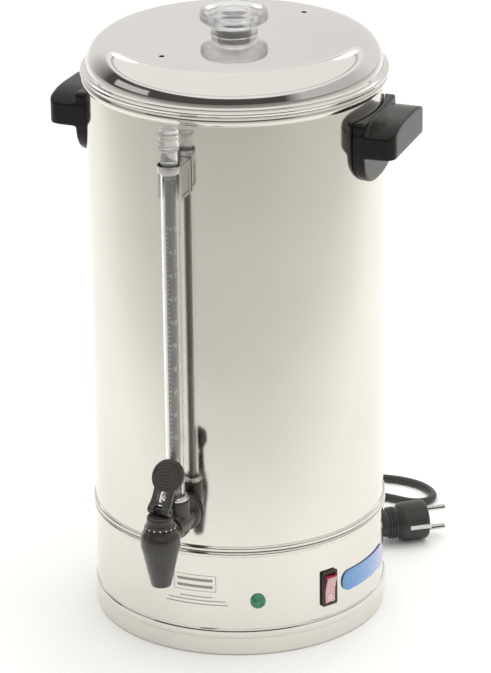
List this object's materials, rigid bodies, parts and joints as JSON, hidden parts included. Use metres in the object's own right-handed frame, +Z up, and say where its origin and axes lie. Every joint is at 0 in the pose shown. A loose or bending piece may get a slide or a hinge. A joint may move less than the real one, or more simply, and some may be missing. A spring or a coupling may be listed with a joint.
{
  "type": "electric coffee percolator urn",
  "caption": "Tall cylindrical stainless steel coffee percolator urn with lift-off lid, side handles, sight gauge, lever tap, rocker switch, lamp and mains cord.",
  "frame": {"origin": "on the body's axis, at the flat face of the bottom cover that stands level with the base's edge", "axes": "+Z up along the body's axis; the tap and the sight gauge face -Y; the handles are on -X and +X"},
  "size_m": [0.3369, 0.4867, 0.5366],
  "materials": {
    "steel": "polished stainless steel",
    "zinc": "zinc plated",
    "chrome": "bright nickel and chrome",
    "brass": "plain",
    "bakelite": "glossy moulded bakelite",
    "black_plastic": "satin moulded",
    "dark_plastic": "moulded",
    "cord_black": "satin flexible plastic",
    "silicone": "plain",
    "rubber": "plain",
    "mica": "mica sheet",
    "wire": "glass-sleeved wire",
    "glass": "clear",
    "clear_plastic": "clear moulded plastic",
    "green_lens": "translucent green",
    "red_rocker": "translucent red",
    "badge_blue": "plain printed film"
  },
  "bodies": {
    "urn": {"base_shell": "steel", "bottom_cover": "steel", "tank_shell": "steel", "heater_well": "steel", "brew_element": "steel", "cover_screw_1": "zinc", "cover_screw_2": "zinc", "cover_screw_3": "zinc", "handle_screw_left_1": "zinc", "handle_screw_left_2": "zinc", "handle_screw_right_1": "zinc", "handle_screw_right_2": "zinc", "gauge_clip_screw": "zinc", "tap_nut": "zinc", "gauge_clip": "chrome", "gauge_ferrule": "chrome", "plug_pin_1": "chrome", "plug_pin_2": "chrome", "plug_earth_clip_1": "chrome", "plug_earth_clip_2": "chrome", "well_nut": "brass", "handle_left": "bakelite", "handle_right": "bakelite", "tap_shank": "black_plastic", "tap_body": "black_plastic", "tap_bonnet": "black_plastic", "brew_thermostat": "dark_plastic", "thermal_cutout": "dark_plastic", "terminal_block": "dark_plastic", "lamp_holder": "dark_plastic", "switch_frame": "dark_plastic", "cord_gland": "cord_black", "cord_to_coil": "cord_black", "cord_to_plug": "cord_black", "cord_coil": "cord_black", "plug_body": "cord_black", "well_seal": "silicone", "gauge_seal": "silicone", "tap_inner_washer": "rubber", "tap_outer_washer": "rubber", "keep_warm_element": "mica", "switch_lead": "wire", "lamp_lead": "wire", "gauge_tube": "glass", "gauge_plug": "clear_plastic", "lamp_lens": "green_lens", "badge": "badge_blue"},
    "lid": {"lid_shell": "steel", "lid_knob": "clear_plastic", "knob_ring": "silicone"},
    "tap_valve": {"tap_stem": "zinc", "tap_seat_cup": "silicone", "tap_spring": "zinc"},
    "tap_handle": {"tap_lever": "black_plastic", "tap_pin": "zinc"},
    "rocker": {"switch_rocker": "red_rocker"},
    "pump": {"pump_stem": "steel"},
    "pump_valve": {"pump_washer": "silicone"},
    "basket": {"coffee_basket": "steel"},
    "spreader": {"water_spreader": "steel"}
  },
  "joints": [
    {"name": "lid_lift", "type": "slide", "parent": "urn", "child": "lid", "axis": [0, 0, 1], "range_m": [0, 0.12]},
    {"name": "tap_stem_lift", "type": "slide", "parent": "urn", "child": "tap_valve", "axis": [0, 0, 1], "range_m": [0, 0.0041], "deforming": ["tap_spring"]},
    {"name": "tap_lever_pull", "type": "hinge", "parent": "tap_valve", "child": "tap_handle", "pos_m": [0, -0.181, 0.1555], "axis": [0.9848, -0.1736, 0], "range_deg": [0, 60], "stiffness_Nm_per_rad": 0.15, "springref_deg": -28.65},
    {"name": "switch_rock", "type": "hinge", "parent": "urn", "child": "rocker", "pos_m": [0.10527, -0.06553, 0.051], "axis": [0.5284, 0.849, 0], "range_deg": [-16, 0]},
    {"name": "pump_lift", "type": "slide", "parent": "urn", "child": "pump", "axis": [0, 0, 1], "range_m": [0, 0.03]},
    {"name": "pump_valve_lift", "type": "slide", "parent": "pump", "child": "pump_valve", "axis": [0, 0, 1], "range_m": [0, 0.004]},
    {"name": "basket_lift", "type": "slide", "parent": "pump", "child": "basket", "axis": [0, 0, 1], "range_m": [0, 0.04]},
    {"name": "spreader_lift", "type": "slide", "parent": "basket", "child": "spreader", "axis": [0, 0, 1], "range_m": [0, 0.04]}
  ],
  "couplings": [
    {"joint": "tap_stem_lift", "follows": "tap_lever_pull", "m_per_rad": 0.00382}
  ]
}
